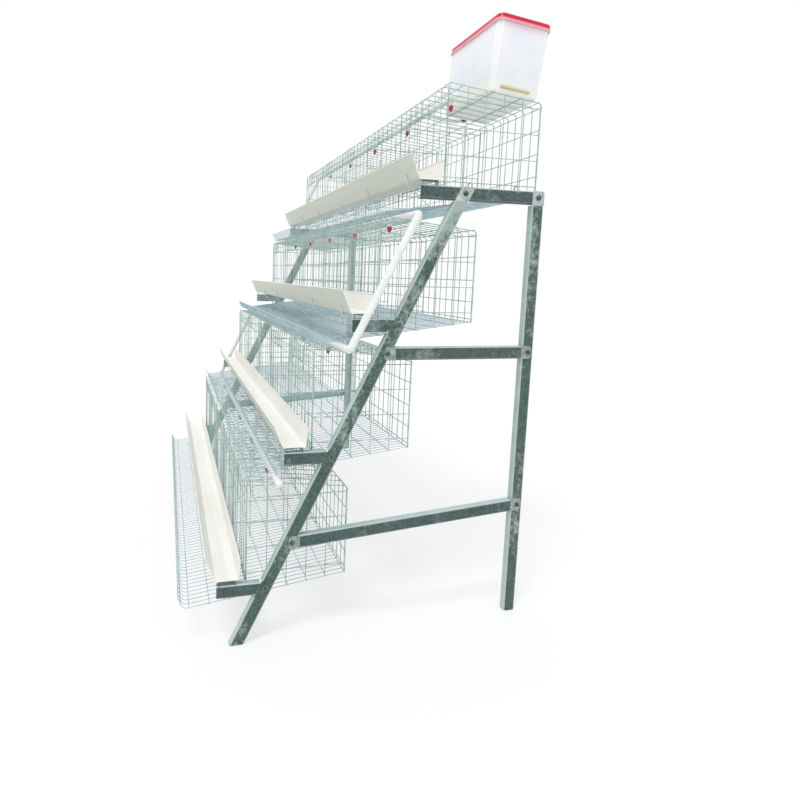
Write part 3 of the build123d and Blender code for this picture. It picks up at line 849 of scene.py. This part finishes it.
def frame_side(side, name):
    """The steel of one end frame; side is 1 at the tank's end."""
    tabs = Shape()

    def put(shape, outline, face, start, end, across):
        """A channel between two (y, z) points, its web's outer face at a distance from the middle."""

        def place(a, b, end_point):
            return Vector((side * (face - a), end_point[0], end_point[1])) + Vector(across) * b

        shape.swept(outline, place, (start, end))

    def flat(shape, outline, face, place):
        """A flat strip of sheet, put by place(a, b) as (y, z)."""
        points = [place(a, b) for a, b in outline]
        shape.loft([[Vector((side * x, y, z)) for y, z in points] for x in (face - sheet, face)])

    post_low, post_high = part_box(f"rear_post_{name}")
    beam_low, beam_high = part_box(f"top_beam_{name}")
    tab_bottom = beam_low.z - fit_gap

    post = Shape()
    section = channel_outline(channel_web, channel_flange)
    put(post, section, half_span, (post_low.y, 0), (post_low.y, tab_bottom), (0, 1, 0))
    tab = tab_outline(post_high.z - tab_bottom, channel_web)
    flat(tabs, tab, half_span, lambda a, b: (post_low.y + b, tab_bottom + a))
    piece(f"post_{name}", post, post_finish, "galvanised_frame", "cage", f"rear_post_{name}")

    leg = Shape()
    whole = channel_outline(leg_width, channel_flange)
    notched = channel_outline(leg_width, channel_flange, (False, True))
    cuts = []
    for low, high in solids(f"support_arms_{name}"):
        cuts.append((low.z - fit_gap, high.z + fit_gap))
    heights = [0.0] + [z for cut in sorted(cuts) for z in cut] + [tab_bottom]
    for n, (low_z, high_z) in enumerate(zip(heights, heights[1:])):
        outline = notched if n % 2 else whole
        put(leg, outline, half_span, (leg_y(low_z), low_z), (leg_y(high_z), high_z), (0, 1, 0))
    tab = tab_outline(leg_high.z - tab_bottom, leg_width)
    flat(tabs, tab, half_span, lambda a, b: (leg_y(tab_bottom + a) + b, tab_bottom + a))
    piece(f"leg_{name}", leg, leg_finish, "galvanised_frame", "cage", f"front_leg_{name}")

    inside = half_span - sheet
    arm_section = channel_outline(channel_web, channel_flange - sheet)
    beam = Shape()
    put(beam, arm_section, inside, (beam_low.y, beam_low.z), (beam_high.y, beam_low.z), (0, 0, 1))
    piece(f"beam_{name}", beam, level_finish, "galvanised_frame", "cage", f"top_beam_{name}")

    arms = Shape()
    for low, high in solids(f"support_arms_{name}"):

        def along_leg(a, b, share, low=low):
            """The arm's end is cut along the leg."""
            y = low.y + (leg_y(low.z + b) - fit_gap - low.y) * share
            return Vector((side * (inside - a), y, low.z + b))

        tab_length = high.y - leg_y(low.z) + fit_gap

        def along_tab(a, b, low=low, high=high, tab_length=tab_length):
            """The tab starts at the arm's slanted end and has a square tip."""
            z = low.z + tab_margin + b
            start = leg_y(z) - fit_gap
            return (start + (high.y - start) * a / tab_length, z)

        arms.swept(arm_section, along_leg, (0, 1))
        flat(arms, tab_outline(tab_length, channel_web - 2 * tab_margin), inside, along_tab)
    piece(f"arms_{name}", arms, level_finish, "galvanised_frame", "cage", f"support_arms_{name}")

    braces = Shape()
    lugs = Shape()
    outside = half_span + sheet
    for low, high in solids(f"cross_braces_{name}"):
        slope = (high.z - low.z - channel_web) / (high.y - low.y)

        def bottom(y, low=low, slope=slope):
            return low.z + (y - low.y) * slope

        channel_from = leg_y(bottom(low.y) + channel_web) + leg_width + fit_gap
        channel_to = post_low.y - fit_gap
        start = (channel_from, bottom(channel_from))
        end = (channel_to, bottom(channel_to))
        put(braces, section, outside, start, end, (0, 0, 1))
        lug = tab_outline(channel_from - low.y, channel_web)
        flat(lugs, lug, outside, lambda a, b: (channel_from - a, bottom(channel_from - a) + b))
        lug = tab_outline(high.y - channel_to, channel_web)
        flat(lugs, lug, outside, lambda a, b: (channel_to + a, bottom(channel_to + a) + b))
    piece(f"braces_{name}", braces, level_finish, "galvanised_frame", "cage", f"cross_braces_{name}")
    piece(f"lugs_{name}", lugs, lug_finish, "galvanised_frame", "cage")
    piece(f"tabs_{name}", tabs, tab_finish, "galvanised_frame", "cage")


def frame_bolts():
    """Dark hex heads with chamfered tops and a bolt's end, on grey round washers."""
    shape = Shape()
    washers = Shape()
    for low, high in solids("frame_bolts"):
        side = 1 if low.x > 0 else -1
        face = low.x if side > 0 else high.x
        head = high.x - low.x
        across = (high.y - low.y) / 2
        base = Vector((face, (low.y + high.y) / 2, (low.z + high.z) / 2))
        axis = (side, 0, 0)
        washers.disc(base, axis, washer_thickness, washer_radius)
        profile = [
            (washer_thickness, across),
            (head - bolt_chamfer, across),
            (head, across * bolt_top_share),
        ]
        shape.turned(base, axis, profile, hex_sides)
        root, tip = [across * share for share in bolt_end_shares]
        shape.turned(base, axis, [(head, root), (head + bolt_end_proud, tip)], bolt_end_sides)
    piece("bolts", shape, bolt_finish, "bolt_steel", "cage", "frame_bolts", sharp=25)
    piece("washers", washers, washer_finish, "bolt_steel", "cage")


def hangers():
    """Round pins from the legs under the bars of the end panels, and staples on the top beams."""
    shape = Shape()
    for low, high in solids("cage_hangers"):
        y = (low.y + high.y) / 2
        top = high.z - hanger_radius
        if high.z - low.z > 2 * (high.y - low.y):
            inner = low.x + 2 * hanger_radius
            outer = high.x - 2 * hanger_radius
            staple = [(inner, y, low.z), (inner, y, top), (outer, y, top), (outer, y, low.z)]
            shape.tube(rounded(staple, hanger_bend), hanger_radius)
        else:
            shape.tube([(low.x, y, top), (high.x, y, top)], hanger_radius)
    piece("hanger_pins", shape, wire_finish, "galvanised_frame", "cage", "cage_hangers")


# Water line


def drinker_boxes():
    """Boxes of the drinker pipes, from the top tier down."""
    return sorted(solids("drinker_pipes"), key=lambda box: -box[0].z)


def water_line():
    """Straight pipes, the bends between tiers and domed plugs."""
    pipes = drinker_boxes()
    radius = (pipes[0][1].z - pipes[0][0].z) / 2
    straight = Shape()
    for low, high in pipes:
        y = (low.y + high.y) / 2
        z = (low.z + high.z) / 2
        straight.tube([(low.x, y, z), (high.x, y, z)], radius, pipe_sides)
    piece("pipe_straights", straight, pipe_finish, "pipe_plastic", "cage", "drinker_pipes")

    bends = Shape()
    for low, high in solids("pipe_bends"):
        side = 1 if low.x > 0 else -1
        far_x = high.x - radius if side > 0 else low.x + radius
        near_x = far_x - side * bend_arm
        upper = Vector((far_x, high.y - radius, high.z - radius))
        lower = Vector((far_x, low.y + radius, low.z + radius))
        path = [
            Vector((near_x, upper.y, upper.z)),
            upper,
            lower,
            Vector((near_x, lower.y, lower.z)),
        ]
        bends.tube(rounded(path, pipe_bend, steps=10), radius, pipe_sides)
    piece("pipe_turns", bends, pipe_finish, "pipe_plastic", "cage", "pipe_bends")

    ends = Shape()
    for low, high in solids("pipe_plugs"):
        centre = Vector((low.x, (low.y + high.y) / 2, (low.z + high.z) / 2))
        length = high.x - low.x
        turns = [math.pi / 2 * n / plug_steps for n in range(plug_steps)]
        dome = [(length * math.sin(turn), radius * math.cos(turn)) for turn in turns]
        ends.turned(centre, (1, 0, 0), dome + [(length, radius * 0.02)], pipe_sides)
    piece("pipe_ends", ends, pipe_finish, "pipe_plastic", "cage", "pipe_plugs")


def nipples():
    """Red drinkers with a collar and a narrow mouth, under white saddles on the pipe."""
    shape = Shape()
    saddles = Shape()
    for low, high in solids("nipple_bodies"):
        base = Vector(((low.x + high.x) / 2, (low.y + high.y) / 2, low.z))
        length = high.z - low.z
        width = (high.x - low.x) / 2
        neck = length * (1 - saddle_share)
        profile = [(neck * a, width * b) for a, b in nipple_profile]
        shape.turned(base, (0, 0, 1), profile, round_sides)
        saddle = [(neck + (length - neck) * a, width * b) for a, b in saddle_profile]
        saddles.turned(base, (0, 0, 1), saddle, round_sides)
    piece("nipples", shape, nipple_finish, "nipple_plastic", "cage", "nipple_bodies", sharp=30)
    piece("nipple_saddles", saddles, pipe_finish, "pipe_plastic", "cage", sharp=30)
    for tier in tiers:
        node = f"nipple_pins_{tier}"
        pins = Shape()
        for low, high in solids(node):
            base = Vector(((low.x + high.x) / 2, (low.y + high.y) / 2, low.z))
            radius = (high.x - low.x) / 2
            length = high.z - low.z
            profile = [
                (0.0, radius * pin_tip_share),
                (pin_tip, radius),
                (length - pin_shoulder, radius),
                (length, radius * pin_shoulder_share),
            ]
            pins.turned(base, (0, 0, 1), profile, pin_sides)
        piece(f"pins_{tier}", pins, pin_finish, "pin_steel", node, node)


# Tank

tank_up = Vector((0, math.sin(roof_slope), math.cos(roof_slope)))
tank_back = Vector((0, math.cos(roof_slope), -math.sin(roof_slope)))
roof_corner = origins[1] + Vector((0, 0, front_top))
tank_middle = tank_place + tank_depth / 2


def on_roof(x, back, height):
    """A point on the leaning roof of the top tier; height is above the tank's seat."""
    return roof_corner + Vector((x, 0, 0)) + tank_back * back + tank_up * (height + rail_wire)


def tank_loop(height, grow):
    """Rounded rectangle round the tank at a height, larger than the base outline by grow."""
    half_x = tank_length / 2 + grow
    half_y = tank_depth / 2 + grow
    corner = max(tank_corner + grow, tank_corner_least)
    loop = []
    for turn, (sign_x, sign_y) in enumerate(((1, 1), (-1, 1), (-1, -1), (1, -1))):
        start = math.pi / 2 * turn
        for n in range(tank_corner_steps + 1):
            angle = start + math.pi / 2 * n / tank_corner_steps
            x = sign_x * (half_x - corner) + corner * math.cos(angle)
            y = sign_y * (half_y - corner) + corner * math.sin(angle)
            loop.append(on_roof(tank_x + x, tank_middle + y, height))
    return loop


def spread(height):
    """How far the walls have leaned out at a height."""
    return height * tank_spread


tank_seat = on_roof(0, 0, 0).dot(tank_up)


def tank():
    """A milky tub, cream near its base, with a moulded grip; its lowest band is painted paler for
    light shining through its base, and pink is painted near its rim for the red lid's light.
    """
    tank_finish = banded_plastic(
        "tank_plastic",
        0.3,
        tank_up,
        tank_seat,
        tank_seat + tank_height,
        # Painted light: the lowest band is painted paler for light shining through the base.
        (0.0, (0.95, 0.95, 0.97)),
        (0.03, (0.93, 0.93, 0.92)),
        (0.07, (0.92, 0.91, 0.83)),
        (0.14, (0.92, 0.92, 0.87)),
        (0.19, (0.87, 0.89, 0.94)),
        (0.80, (0.87, 0.89, 0.95)),
        # Painted light: pink near the rim stands for the red lid's light on the wall.
        (0.95, (0.90, 0.76, 0.80)),
        # Painted highlight along the tank's corners.
        painted_corner_highlight=0.7,
    )
    body = Shape()
    loops = [tank_loop(height, grow) for height, grow in tank_foot]
    for height in (tank_height * 0.5, tank_height - tank_rim):
        loops.append(tank_loop(height, spread(height)))
    loops.append(tank_loop(tank_height, spread(tank_height) - tank_rim_inset))
    loops.append(tank_loop(tank_height, spread(tank_height) - tank_wall))
    loops.append(tank_loop(tank_wall, -tank_wall))
    body.loft(loops)
    piece("tank_body", body, tank_finish, "tank_plastic", "cage", "water_tank", sharp=50)

    # Painted shade: the dark olive band is the shade of the grip's groove, darkest below its middle.
    grip_finish = banded_plastic(
        "grip_plastic",
        0.4,
        tank_up,
        tank_seat + grip_height - grip_reach,
        tank_seat + grip_height + grip_reach,
        (0.0, (0.90, 0.90, 0.82)),
        (0.2, (0.74, 0.72, 0.50)),
        (0.34, (0.42, 0.40, 0.17)),
        (0.48, (0.52, 0.50, 0.26)),
        (0.72, (0.82, 0.80, 0.62)),
        (1.0, (0.92, 0.91, 0.84)),
    )
    grip = Shape()
    face = tank_x + tank_length / 2 + spread(grip_height)
    loops = []
    for out, size in grip_section:
        loop = []
        for n in range(grip_sides):
            angle = 2 * math.pi * n / grip_sides
            reach = grip_half if math.cos(angle) >= 0 else -grip_half
            back = tank_middle + reach + size * math.cos(angle)
            loop.append(on_roof(face + out, back, grip_height + size * math.sin(angle)))
        loops.append(loop)
    grip.loft(loops)
    piece("tank_grip", grip, grip_finish, "tank_plastic", "cage", sharp=50)


def lid():
    """A lift-off cap: a deep skirt with a bead, a rounded shoulder and a sunk panel."""
    low = tank_height - lid_drop
    top = tank_height + lid_thickness
    edge = spread(tank_height)
    # Painted highlight: pink at the skirt's lower edge and a paler red along the top rim of a crimson
    # lid.
    lid_finish = banded_plastic(
        "lid_plastic",
        0.26,
        tank_up,
        tank_seat + low,
        tank_seat + top,
        (0.0, (0.88, 0.48, 0.52)),
        (0.28, (0.84, 0.32, 0.38)),
        (0.42, (0.68, 0.04, 0.10)),
        (0.55, (0.62, 0.008, 0.05)),
        (0.96, (0.68, 0.02, 0.075)),
        (1.0, (0.80, 0.15, 0.22)),
    )
    profile = [(tank_height + lid_seat, lid_gap), (low, lid_gap)]
    profile += [(low + rise, reach) for rise, reach in lid_bead]
    profile += [(top + rise, reach) for rise, reach in lid_shoulder + lid_panel]
    shape = Shape()
    shape.loft([tank_loop(height, edge + reach) for height, reach in profile])
    piece("lid", shape, lid_finish, "lid_plastic", "tank_lid", "tank_lid", sharp=50)


def outlet():
    """Black union nut at the tank and a bent white pipe into the drinker line."""
    pipe_low, pipe_high = drinker_boxes()[0]
    pipe_radius = (pipe_high.z - pipe_low.z) / 2
    height = pipe_radius + seat_clearance - rail_wire
    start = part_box("tank_outlet")[1].x
    corner = start - outlet_nut_length - outlet_run
    end = (pipe_high.y - roof_corner.y + seat_clearance) / math.cos(roof_slope)
    shape = Shape()
    nut = on_roof(start, tank_middle, height)
    shape.disc(nut, (-1, 0, 0), outlet_flange, outlet_nut * outlet_flange_spread)
    nut_profile = [
        (outlet_flange, outlet_nut),
        (outlet_nut_length - outlet_nut_chamfer, outlet_nut),
        (outlet_nut_length, outlet_nut * outlet_nut_top_share),
    ]
    shape.turned(nut, (-1, 0, 0), nut_profile, hex_sides)
    path = [
        on_roof(start - outlet_nut_length * 0.5, tank_middle, height),
        on_roof(corner, tank_middle, height),
        on_roof(corner, end, height),
    ]
    pipe = Shape()
    pipe.tube(rounded(path, outlet_bend, steps=8), outlet_radius, outlet_sides)
    ring_at = on_roof(corner, end + outlet_ring_back, height)
    pipe.disc(ring_at, -tank_back, outlet_ring_length, outlet_radius * outlet_ring_spread)
    piece("outlet_nut", shape, outlet_finish, "outlet_plastic", "cage", "tank_outlet")
    piece("outlet_pipe", pipe, pipe_finish, "pipe_plastic", "cage")


for tier in tiers:
    shell_net(tier)
    floor_net(tier)
    partitions(tier)
    trough(tier)
    for compartment in range(1, compartment_count + 1):
        door(tier, compartment)
trough_holders()
frame_side(1, "near")
frame_side(-1, "far")
frame_bolts()
hangers()
water_line()
nipples()
tank()
lid()
outlet()


# Stage: floor, light and camera

ground_half = 30.0
ground_glow = 0.6  # share of plain white in the ground as it is seen
ambient_strength = 0.8
sun_strength = 1.25
sun_width = math.radians(14)
towards_sun = Vector((0.3, -0.3, 0.9))


def background_rays(tree):
    """1 for rays that show the background: straight ones, mirrored ones and those through plastic."""
    path = tree.nodes.new("ShaderNodeLightPath")
    seen = path.outputs["Is Camera Ray"]
    for kind in ("Is Glossy Ray", "Is Transmission Ray"):
        either = tree.nodes.new("ShaderNodeMath")
        either.operation = "MAXIMUM"
        tree.links.new(seen, either.inputs[0])
        tree.links.new(path.outputs[kind], either.inputs[1])
        seen = either.outputs["Value"]
    return seen


def stage_floor():
    mesh = bpy.data.meshes.new("ground")
    signs = ((-1, -1), (1, -1), (1, 1), (-1, 1))
    mesh.from_pydata([(ground_half * x, ground_half * y, 0) for x, y in signs], [], [(0, 1, 2, 3)])
    ground = bpy.data.objects.new("ground", mesh)
    bpy.context.scene.collection.objects.link(ground)
    finish = Finish("ground", (0.9, 0.9, 0.9), 0.9)
    nodes = finish.tree.nodes
    mix = nodes.new("ShaderNodeMixShader")
    finish.link(finish.maths("MULTIPLY", background_rays(finish.tree), ground_glow), mix.inputs["Fac"])
    finish.link(finish.shader.outputs["BSDF"], mix.inputs[1])
    finish.link(nodes.new("ShaderNodeEmission").outputs["Emission"], mix.inputs[2])
    finish.link(mix.outputs["Shader"], nodes["Material Output"].inputs["Surface"])
    mesh.materials.append(finish.material)


def stage_light():
    world = bpy.data.worlds.new("studio")
    bpy.context.scene.world = world
    world.use_nodes = True
    tree = world.node_tree
    background = tree.nodes["Background"]
    background.inputs["Color"].default_value = (1, 1, 1, 1)
    strength = tree.nodes.new("ShaderNodeMapRange")
    strength.inputs["To Min"].default_value = ambient_strength
    strength.inputs["To Max"].default_value = 1.0
    tree.links.new(background_rays(tree), strength.inputs["Value"])
    tree.links.new(strength.outputs["Result"], background.inputs["Strength"])
    sun = bpy.data.lights.new("key", "SUN")
    sun.energy = sun_strength
    sun.angle = sun_width
    lamp = bpy.data.objects.new("key", sun)
    lamp.rotation_euler = towards_sun.to_track_quat("Z", "Y").to_euler()
    bpy.context.scene.collection.objects.link(lamp)


def stage_camera():
    """The photograph's view: a wide lens near the tank's end, a little above middle height."""
    image_size = 800.0
    focal_pixels = 552.5
    axis_pixel = (294.9, 339.5)
    yaw, pitch_angle, roll = 0.230, -0.118, 0.023
    position = Vector((half_span + 1.7602, origins[1].y - 0.9371, 1.2757))
    level = math.cos(pitch_angle)
    forward = Vector((-math.cos(yaw) * level, math.sin(yaw) * level, math.sin(pitch_angle)))
    right = forward.cross(Vector((0, 0, 1))).normalized()
    up = right.cross(forward)
    rolled_right = right * math.cos(roll) + up * math.sin(roll)
    rolled_up = up * math.cos(roll) - right * math.sin(roll)
    camera = bpy.data.cameras.new("camera")
    camera.sensor_width = 36.0
    camera.lens = camera.sensor_width * focal_pixels / image_size
    camera.shift_x = (image_size / 2 - axis_pixel[0]) / image_size
    camera.shift_y = (axis_pixel[1] - image_size / 2) / image_size
    camera.clip_start = 0.05
    camera.clip_end = 100.0
    viewer = bpy.data.objects.new("camera", camera)
    turn = Matrix((rolled_right, rolled_up, -forward)).transposed()
    viewer.matrix_world = Matrix.Translation(position) @ turn.to_4x4()
    bpy.context.scene.collection.objects.link(viewer)
    bpy.context.scene.camera = viewer


stage_floor()
stage_light()
stage_camera()
bpy.context.scene.view_settings.view_transform = "Standard"
